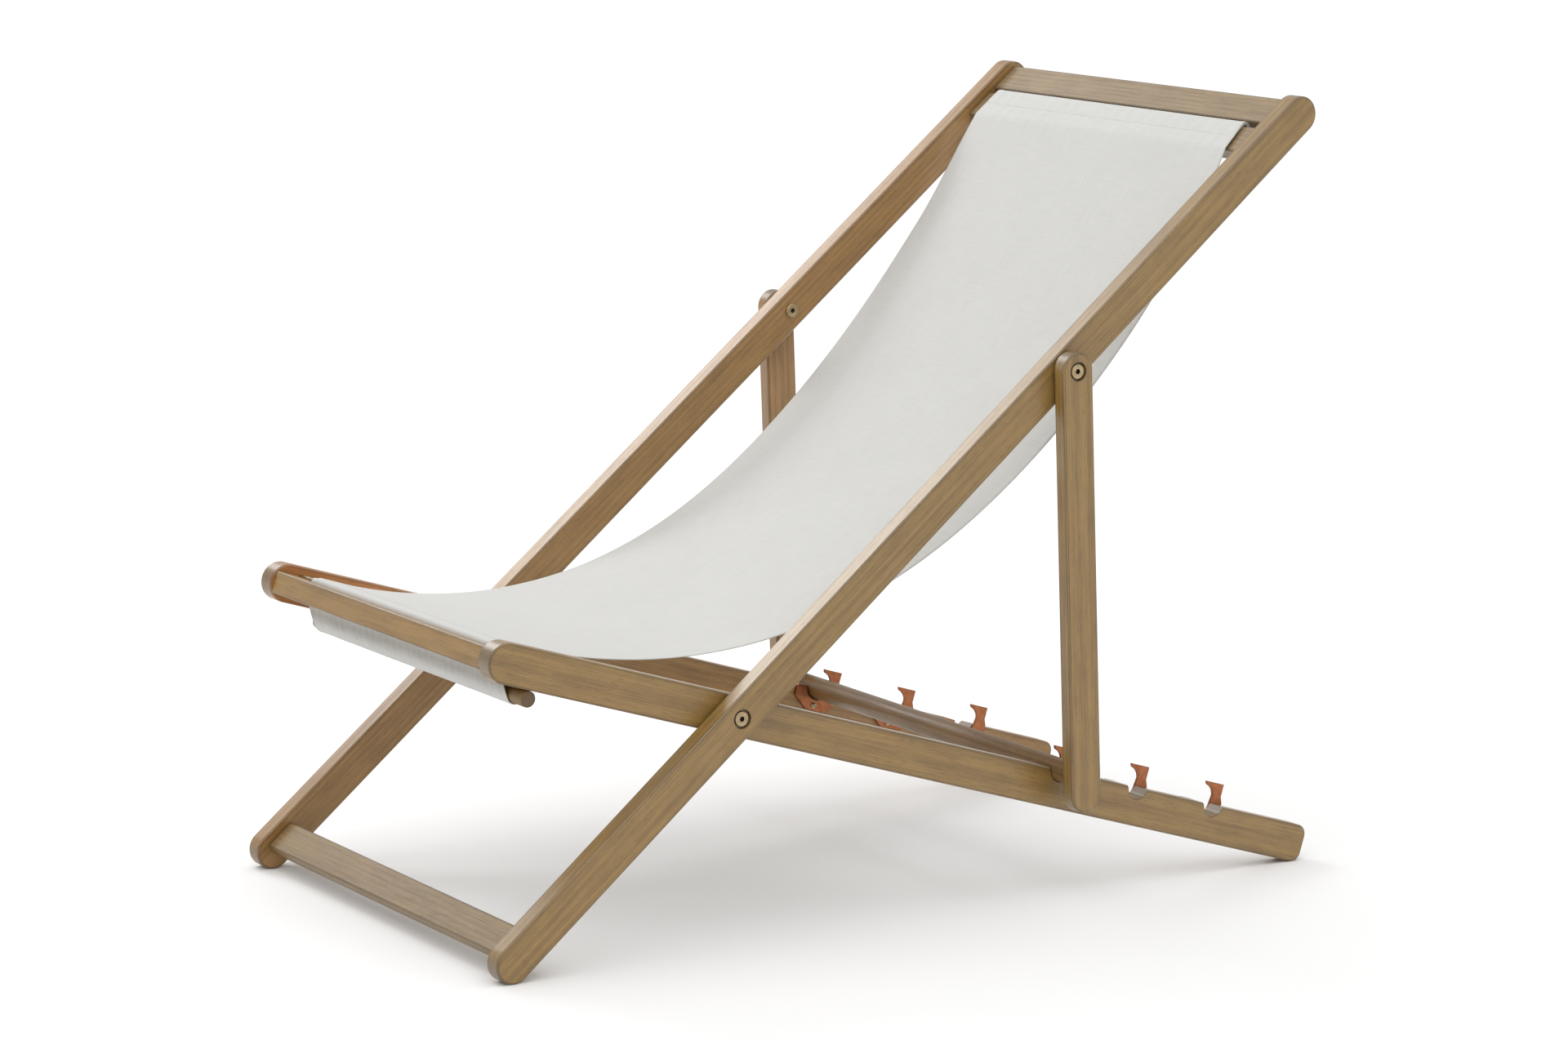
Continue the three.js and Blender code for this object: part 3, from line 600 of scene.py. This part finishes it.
# Turned pieces: bolts, sleeve nuts and dowels, on an axis along X
TURNED_SIDES = 48
SOCKET_SIDES = 6
HEAD_STEPS = 4
BOLT = {"head": 0.003, "shank": 0.0031, "depth": 0.0022}
NUT = {"head": 0.0024, "shank": 0.0043, "depth": 0.0011}
HEAD_ROUND = 0.001
SOCKET_RADIUS = 0.0029
SOCKET_RIM = 0.0005
SOCKET_RIM_DEPTH = 0.0003
TIP_EASE = 0.0004
ROD_EASE = 0.0012
ROD_EASE_SHARE = 0.35
SHARP_ANGLE = math.radians(35)


def ring_points(mesh, x, radius, centre, sides=0):
    """A ring of points round the axis; with sides it is a polygon of that many."""
    ring = []
    for i in range(TURNED_SIDES):
        angle = TURN * i / TURNED_SIDES
        reach = radius
        if sides:
            step = TURN / sides
            reach = radius * math.cos(step / 2) / math.cos(angle % step - step / 2)
        ring.append(mesh.verts.new((x, centre.y + reach * math.cos(angle),
                                    centre.z + reach * math.sin(angle))))
    return ring


def close_rings(mesh, rings, dark_from=None):
    """Skins the rings in order and caps both ends, in the second material from dark_from on."""
    for k, (a, b) in enumerate(zip(rings, rings[1:])):
        for i in range(TURNED_SIDES):
            j = (i + 1) % TURNED_SIDES
            face = mesh.faces.new((a[i], a[j], b[j], b[i]))
            face.smooth = True
            face.material_index = int(dark_from is not None and k >= dark_from)
    mesh.faces.new(rings[0])
    mesh.faces.new(rings[-1]).material_index = int(dark_from is not None)


def add_piece(name, mesh, materials, node, body):
    """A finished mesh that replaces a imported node."""
    piece = add_object(name, mesh, materials)
    piece.data.set_sharp_from_angle(angle=SHARP_ANGLE)
    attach(piece, body)
    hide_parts(node)


def add_fastener(node, shape, facing, materials):
    """A head with a six-sided socket on a shank; the head faces +X or -X."""
    centre, radius, low, high = axis_of(node)
    top, tip = (high, low) if facing > 0 else (low, high)
    under = top - facing * shape["head"]
    mesh = bmesh.new()
    rings = [ring_points(mesh, tip, shape["shank"] - TIP_EASE, centre),
             ring_points(mesh, tip + facing * TIP_EASE, shape["shank"], centre),
             ring_points(mesh, under, shape["shank"], centre),
             ring_points(mesh, under, radius, centre)]
    for i in range(HEAD_STEPS + 1):
        angle = QUARTER * i / HEAD_STEPS
        rings.append(ring_points(mesh, top - facing * HEAD_ROUND * (1 - math.sin(angle)),
                                 radius - HEAD_ROUND * (1 - math.cos(angle)), centre))
    rings.append(ring_points(mesh, top, SOCKET_RADIUS + SOCKET_RIM, centre))
    rings.append(ring_points(mesh, top - facing * SOCKET_RIM_DEPTH, SOCKET_RADIUS, centre,
                             SOCKET_SIDES))
    # From here on the socket's walls and floor take the painted shadow finish
    dark_from = len(rings) - 1
    rings.append(ring_points(mesh, top - facing * shape["depth"], SOCKET_RADIUS, centre,
                             SOCKET_SIDES))
    close_rings(mesh, rings, dark_from)
    add_piece(f"{node}_turned", mesh, materials, node, "back_frame")


def add_dowel(node, turn, body, seed):
    """A round wooden rod with eased ends."""
    centre, radius, low, high = axis_of(node)
    part_way = ROD_EASE * ROD_EASE_SHARE
    eased = ((0.0, ROD_EASE), (part_way, part_way), (ROD_EASE, 0.0))
    mesh = bmesh.new()
    rings = [ring_points(mesh, low + inset, radius - cut, centre) for inset, cut in eased]
    rings += [ring_points(mesh, high - inset, radius - cut, centre)
              for inset, cut in reversed(eased)]
    close_rings(mesh, rings)
    material = wood_material(f"wood_{node}", turn, DOWEL_WOOD, seed, ROD_WARM, across=True)
    add_piece(f"{node}_turned", mesh, [material], node, body)


def add_turned_pieces():
    finish = [metal_material("pale_brass", BRASS), metal_material("socket_shadow", SOCKET_SHADOW_FINISH)]
    for pivot in ("cross", "prop"):
        for side, outward in (("left", 1), ("right", -1)):
            add_fastener(f"{pivot}_bolt_{side}", BOLT, outward, finish)
            add_fastener(f"{pivot}_sleeve_nut_{side}", NUT, -outward, finish)
    rods = (("prop_crossbar", prop_turn, "prop_frame"), ("top_dowel", back_turn, "back_frame"),
            ("front_dowel", seat_turn, "seat_frame"))
    for seed, (node, turn, body) in zip(ROD_SEEDS, rods):
        add_dowel(node, turn, body, seed)


# Sling: the sizes of the cloth, and of the slats and slots that it passes
CLOTH_THICK = 0.0012
CLOTH_CLEARANCE = 0.0006
CLOTH_BEND = 0.0025
LAYER_STEP = CLOTH_THICK + CLOTH_CLEARANCE
HEM_LENGTH = 0.026
SLAT_WIDTH = 0.038
SLAT_FACE = 0.010
SLAT_THICK = 0.015
SLOT_WIDTH = 0.008
REST_WIDTH = 0.036
REST_TOP = 0.013
TOP_LEAN = math.radians(57.2)
FRONT_LEAN = math.radians(14.8)
TOP_PULL_SHARE = 0.563
FRONT_PULL_SHARE = 0.301
FRONT_SETBACK = 0.028
TOP_DOWEL, DOWEL_RADIUS = axis_of("top_dowel")[:2]
FRONT_DOWEL = axis_of("front_dowel")[0]

# How finely its line is divided: the hanging part, each loop, bend, flat stretch and hem
FREE_STEPS = 150
FINE_STEPS = 20
LOOP_STEPS = 44
BEND_STEPS = 8
FLAT_STEPS = 14
HEM_STEPS = 8

# Its columns stand closer together towards both sides, as points of a half turn do from the
# side, with a share of the half turn left out at each end
COLUMNS = 120
COLUMN_SKIP = 0.12
FIRST_COLUMN = 0.5 - 0.5 * math.cos(math.pi * COLUMN_SKIP)

# Its sides are turned in, so they are thicker, and they are rounded at the very edge
SIDE_SWELL = 0.35
SIDE_SWELL_RANGE = (0.006, 0.009)
SIDE_THIN_SHARE = 0.45
SIDE_ROUND_RANGE = (-0.0002, 0.0012)

# How far the cloth reaches to each side, by its share of the way from slot to slot
SIDE_SHARES = (0.0, 0.10, 0.25, 0.50, 0.70, 0.85, 0.97, 1.03)
FAR_REACH = (0.238, 0.239, 0.237, 0.227, 0.208, 0.193, 0.175, 0.194)
NEAR_REACH = (0.222, 0.243, 0.253, 0.243, 0.223, 0.211, 0.211, 0.226)

# Gathers of the stitched hems, by the run past each slot, and the pinch along the top seam
TOP_GATHER = 0.0015
TOP_GATHER_LENGTH = 0.021
TOP_GATHER_SEED = 1.7
TOP_GATHER_RISE = (-0.004, 0.006)
TOP_GATHER_FADE = (0.018, 0.075)
STITCH_FROM_SLOT = 0.020
SEAM_PINCH = 0.85
SEAM_WIDTH = 0.0028
ROLL_GATHER = 0.0034
ROLL_GATHER_LENGTH = 0.014
ROLL_GATHER_SEED = 6.3
ROLL_GATHER_RISE = (0.012, 0.022)
ROLL_GATHER_FADE = (0.046, 0.072)

# How uneven the gathers are: how far their waves shift and their height changes, in how
# many patches a metre
WAVE_SHIFT = 2.6
WAVE_PATCHES = 16
WAVE_LAYER = 0.3
SWELL_MIDDLE = 0.65
SWELL_CHANGE = 0.7
SWELL_PATCHES = 21
SWELL_LAYER = 4.1

# Droop of the far edge, by its share of the way from slot to slot
FAR_DROOP = 0.005
FAR_DROOP_WIDTH = 0.080
FAR_DROOP_RISE = (0.05, 0.16)
FAR_DROOP_FADE = (0.50, 0.80)


def arc(centre, radius, start, end, steps):
    return [(centre[0] + radius * math.cos(start + (end - start) * i / steps),
             centre[1] + radius * math.sin(start + (end - start) * i / steps))
            for i in range(steps + 1)]


def straight(start, end):
    """Points from start towards end, without end itself."""
    return [(start[0] + (end[0] - start[0]) * i / BEND_STEPS,
             start[1] + (end[1] - start[1]) * i / BEND_STEPS) for i in range(BEND_STEPS)]


def cloth_end(face, slot_foot, dowel):
    """From the cloth's face on the slat, down the slot, round the dowel and back to the hem."""
    loop_radius = DOWEL_RADIUS + CLOTH_CLEARANCE + CLOTH_THICK / 2
    hem_level = face + CLOTH_CLEARANCE + CLOTH_THICK / 2
    bend = CLOTH_BEND + CLOTH_THICK / 2
    centre = (-LAYER_STEP / 2 - bend, hem_level - bend)

    def touch(x, side):
        away = Vector((x - dowel[0], slot_foot - dowel[1]))
        return math.atan2(away.y, away.x) - side * math.acos(loop_radius / away.length)

    down = touch(LAYER_STEP / 2, 1)
    up = touch(-LAYER_STEP / 2, -1)
    up += TURN if up < down else 0.0
    points = arc(centre, bend + LAYER_STEP, QUARTER, 0, BEND_STEPS)
    loop = arc(dowel, loop_radius, down, up - TURN, LOOP_STEPS)
    points += straight((LAYER_STEP / 2, slot_foot), loop[0])
    points += loop
    points += straight((-LAYER_STEP / 2, slot_foot), loop[-1])[::-1]
    points += arc(centre, bend, 0, QUARTER, BEND_STEPS)
    points += [(centre[0] - HEM_LENGTH * i / HEM_STEPS, hem_level)
               for i in range(1, HEM_STEPS + 1)]
    return points, hem_level + LAYER_STEP


def bezier(points, share):
    a, b, c, d = points
    rest = 1 - share
    return a * rest**3 + b * 3 * rest**2 * share + c * 3 * rest * share**2 + d * share**3


def runs_along(points):
    """The length of the line from its first point to each point."""
    runs = [0.0]
    for a, b in zip(points, points[1:]):
        runs.append(runs[-1] + (b - a).length)
    return runs


def even_curve(points, steps):
    """Points at even distances along a cubic curve."""
    fine_steps = steps * FINE_STEPS
    fine = [bezier(points, i / fine_steps) for i in range(fine_steps + 1)]
    runs = runs_along(fine)
    found, at = [], 0
    for i in range(steps + 1):
        want = runs[-1] * i / steps
        while at < len(runs) - 2 and runs[at + 1] < want:
            at += 1
        share = (want - runs[at]) / (runs[at + 1] - runs[at])
        found.append(fine[at].lerp(fine[at + 1], share))
    return found


def through(share, marks, values):
    """A smooth curve through values at marks."""
    share = min(max(share, marks[0]), marks[-1])
    last = len(marks) - 1
    at = max(i for i in range(last) if marks[i] <= share)

    def slope(i):
        low, high = max(i - 1, 0), min(i + 1, last)
        return (values[high] - values[low]) / (marks[high] - marks[low])

    width = marks[at + 1] - marks[at]
    t = (share - marks[at]) / width
    return ((2 * t**3 - 3 * t**2 + 1) * values[at] + (t**3 - 2 * t**2 + t) * width * slope(at)
            + (3 * t**2 - 2 * t**3) * values[at + 1] + (t**3 - t**2) * width * slope(at + 1))


def hanging_line(start, end):
    """The free cloth's line between the slats, leaving them at their leans."""
    chord = (end - start).length
    away = Vector((0, math.cos(TOP_LEAN), math.sin(TOP_LEAN)))
    near = Vector((0, math.cos(FRONT_LEAN), -math.sin(FRONT_LEAN)))
    return even_curve([start, start - away * chord * TOP_PULL_SHARE,
                       end + near * chord * FRONT_PULL_SHARE, end], FREE_STEPS)


def flat_line(start, end):
    """Points between start and end, without the two themselves."""
    return [start.lerp(end, i / FLAT_STEPS) for i in range(1, FLAT_STEPS)]


class Cloth:
    """The cloth's middle line from the top hem to the front hem, and its surface beside it."""

    def __init__(self):
        top_slot, top_level = to_frame(TOP_DOWEL, back_turn)
        front_along, front_level = to_frame(FRONT_DOWEL, seat_turn)
        front_slot = front_along - FRONT_SETBACK
        top_points, top_main = cloth_end(SLAT_FACE, SLAT_FACE - SLAT_THICK, (0.0, top_level))
        front_points, front_main = cloth_end(REST_TOP, REST_TOP - SLAT_THICK,
                                             (-FRONT_SETBACK, front_level))
        top_points = [in_frame((top_slot + x, y), back_turn) for x, y in top_points]
        front_points = [in_frame((front_slot - x, y), seat_turn) for x, y in front_points]
        start = in_frame((top_slot - SLOT_WIDTH / 2 - SLAT_WIDTH, top_main), back_turn)
        end = in_frame((front_slot + SLOT_WIDTH / 2 + REST_WIDTH, front_main), seat_turn)
        self.points = (top_points[::-1] + flat_line(top_points[0], start)
                       + hanging_line(start, end) + flat_line(end, front_points[0])
                       + front_points)
        self.runs = runs_along(self.points)
        self.length = self.runs[-1]
        top_mark = len(top_points) - 1
        front_mark = len(self.points) - len(front_points)
        self.top_run, self.front_run = self.runs[top_mark], self.runs[front_mark]
        self.normals = self.find_normals((top_mark + front_mark) // 2)

    def find_normals(self, middle):
        """Normals of the cloth's upper side, which looks up at the point middle."""
        normals = []
        for i in range(len(self.points)):
            before = self.points[max(i - 1, 0)]
            after = self.points[min(i + 1, len(self.points) - 1)]
            along = (after - before).normalized()
            normals.append(Vector((0, along.z, -along.y)))
        if normals[middle].z < 0:
            normals = [-normal for normal in normals]
        return normals

    def at(self, run):
        """The line's point and upward normal at a run."""
        i = next((k for k, mark in enumerate(self.runs) if mark >= run), len(self.runs) - 1)
        i = max(i, 1)
        share = (run - self.runs[i - 1]) / (self.runs[i] - self.runs[i - 1])
        return (self.points[i - 1].lerp(self.points[i], share),
                self.normals[i - 1].lerp(self.normals[i], share).normalized())

    def share_at(self, run):
        """The share of the way from slot to slot at a run."""
        return (run - self.top_run) / (self.front_run - self.top_run)

    def reach(self, run):
        """How far the cloth reaches to its far and its near side at a run."""
        share = self.share_at(run)
        return through(share, SIDE_SHARES, FAR_REACH), through(share, SIDE_SHARES, NEAR_REACH)

    def flat_size(self):
        """The cloth's widest place and its area, laid flat."""
        widths = [sum(self.reach(run)) for run in self.runs]
        area = 0.0
        for before, run, width in zip(self.runs, self.runs[1:], widths[1:]):
            area += (run - before) * width
        return max(widths), area

    def rise(self, x, run):
        """Gathers and droop, in metres above the plain cloth."""
        past_top = run - self.top_run
        past_front = run - self.front_run
        far, _ = self.reach(run)
        share = self.share_at(run)
        top = smooth(past_top, *TOP_GATHER_RISE) * (1 - smooth(past_top, *TOP_GATHER_FADE))
        seam = math.exp(-((past_top - STITCH_FROM_SLOT) / SEAM_WIDTH) ** 2)
        top *= 1 - SEAM_PINCH * seam
        roll = smooth(past_front, *ROLL_GATHER_RISE)
        roll *= 1 - smooth(past_front, *ROLL_GATHER_FADE)
        droop = smooth(-x, far - FAR_DROOP_WIDTH, far)
        droop *= smooth(share, *FAR_DROOP_RISE) * (1 - smooth(share, *FAR_DROOP_FADE))
        return (TOP_GATHER * top * gathers(x, TOP_GATHER_LENGTH, TOP_GATHER_SEED)
                + ROLL_GATHER * roll * gathers(x, ROLL_GATHER_LENGTH, ROLL_GATHER_SEED)
                - FAR_DROOP * droop)


def gathers(x, length, seed):
    """Uneven waves across the cloth, from 0 to about 1."""
    shift = noise.noise(Vector((x * WAVE_PATCHES, seed, WAVE_LAYER)))
    change = noise.noise(Vector((x * SWELL_PATCHES, seed, SWELL_LAYER)))
    wave = 0.5 + 0.5 * math.sin(TURN * x / length + WAVE_SHIFT * shift)
    return (SWELL_MIDDLE + SWELL_CHANGE * change) * wave


def column_share(j):
    """How far column j lies across the cloth, from 0 at the far side to 1 at the near side."""
    turned = math.pi * (COLUMN_SKIP + (1 - 2 * COLUMN_SKIP) * j / COLUMNS)
    return (0.5 - 0.5 * math.cos(turned) - FIRST_COLUMN) / (1 - 2 * FIRST_COLUMN)


def half_thickness(edge):
    """Half the cloth's thickness, at a distance from its nearer side."""
    swollen = CLOTH_THICK / 2 * (1 + SIDE_SWELL * (1 - smooth(edge, *SIDE_SWELL_RANGE)))
    return swollen * (SIDE_THIN_SHARE + (1 - SIDE_THIN_SHARE) * smooth(edge, *SIDE_ROUND_RANGE))


def build_sling(cloth, canvas):
    """The cloth's upper and lower faces, closed along its sides and hems."""
    mesh = bmesh.new()
    layer = mesh.loops.layers.uv.new("flat")
    flat_place = {}
    rows = {1: [], -1: []}
    for point, normal, run in zip(cloth.points, cloth.normals, cloth.runs):
        far, near = cloth.reach(run)
        for side in (1, -1):
            row = []
            for j in range(COLUMNS + 1):
                x = -far + column_share(j) * (far + near)
                thick = half_thickness(min(x + far, near - x))
                lift = cloth.rise(x, run) + side * thick
                vertex = mesh.verts.new(point + Vector((x, 0, 0)) + normal * lift)
                flat_place[vertex] = (x, run)
                row.append(vertex)
            rows[side].append(row)
    faces = []
    for side in (1, -1):
        for lower, upper in zip(rows[side], rows[side][1:]):
            for j in range(COLUMNS):
                ring = [lower[j], lower[j + 1], upper[j + 1], upper[j]]
                faces.append(mesh.faces.new(ring if side > 0 else ring[::-1]))
    for j in (0, COLUMNS):
        for (a, b), (c, d) in zip(zip(rows[1], rows[1][1:]), zip(rows[-1], rows[-1][1:])):
            ring = [a[j], b[j], d[j], c[j]]
            faces.append(mesh.faces.new(ring if j == 0 else ring[::-1]))
    for k in (0, -1):
        for j in range(COLUMNS):
            ring = [rows[1][k][j], rows[-1][k][j], rows[-1][k][j + 1], rows[1][k][j + 1]]
            faces.append(mesh.faces.new(ring if k == 0 else ring[::-1]))
    for face in faces:
        face.smooth = True
        for loop in face.loops:
            loop[layer].uv = flat_place[loop.vert]
    return add_object("canvas_sling", mesh, [canvas])


# Stitching: short arched threads in a row across the cloth
STITCH_LENGTH = 0.0034
STITCH_PITCH = 0.0045
STITCH_RADIUS = 0.00032
STITCH_THIN_SHARE = 0.45
STITCH_ARCH = 0.0003
STITCH_SINK_SHARE = 0.4
STITCH_MARGIN = 0.004
STITCH_RINGS = 5
STITCH_SIDES = 6


def build_stitches(cloth, name, run, thread):
    """A row of stitches at a run of the cloth, each thinner at its sunken ends."""
    mesh = bmesh.new()
    point, normal = cloth.at(run)
    along = Vector((0, normal.z, -normal.y))
    turns = [TURN * j / STITCH_SIDES for j in range(STITCH_SIDES)]
    far, near = cloth.reach(run)
    for k in range(int((far + near - 2 * STITCH_MARGIN) / STITCH_PITCH)):
        start = -far + STITCH_MARGIN + k * STITCH_PITCH
        rings = []
        for i in range(STITCH_RINGS):
            share = i / (STITCH_RINGS - 1)
            x = start + STITCH_LENGTH * share
            arch = math.sin(math.pi * share)
            lift = cloth.rise(x, run) + CLOTH_THICK / 2 + STITCH_ARCH * (arch - STITCH_SINK_SHARE)
            middle = point + Vector((x, 0, 0)) + normal * lift
            radius = STITCH_RADIUS * (STITCH_THIN_SHARE + (1 - STITCH_THIN_SHARE) * arch ** 0.5)
            rings.append([mesh.verts.new(middle + radius * (normal * math.cos(turn)
                                                            + along * math.sin(turn)))
                          for turn in turns])
        for a, b in zip(rings, rings[1:]):
            for j in range(STITCH_SIDES):
                n = (j + 1) % STITCH_SIDES
                mesh.faces.new((a[j], a[n], b[n], b[j])).smooth = True
        mesh.faces.new(rings[0])
        mesh.faces.new(rings[-1])
    stitches = add_object(name, mesh, [thread])
    return stitches


def add_sling():
    cloth = Cloth()
    widest, area = cloth.flat_size()
    canvas = canvas_material("canvas", cloth.front_run + SLOT_SHADE_PAST_SLOT)
    sling = build_sling(cloth, canvas)
    thread = thread_material()
    top = build_stitches(cloth, "top_hem_stitches", cloth.top_run + STITCH_FROM_SLOT, thread)
    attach(top, "back_frame")
    front = build_stitches(cloth, "front_hem_stitches", cloth.front_run - STITCH_FROM_SLOT,
                           thread)
    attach(front, "seat_frame")
    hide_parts("sling")
    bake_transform(sling)


add_camera()
add_studio()
dress_wood()
dress_metal()
add_turned_pieces()
add_sling()
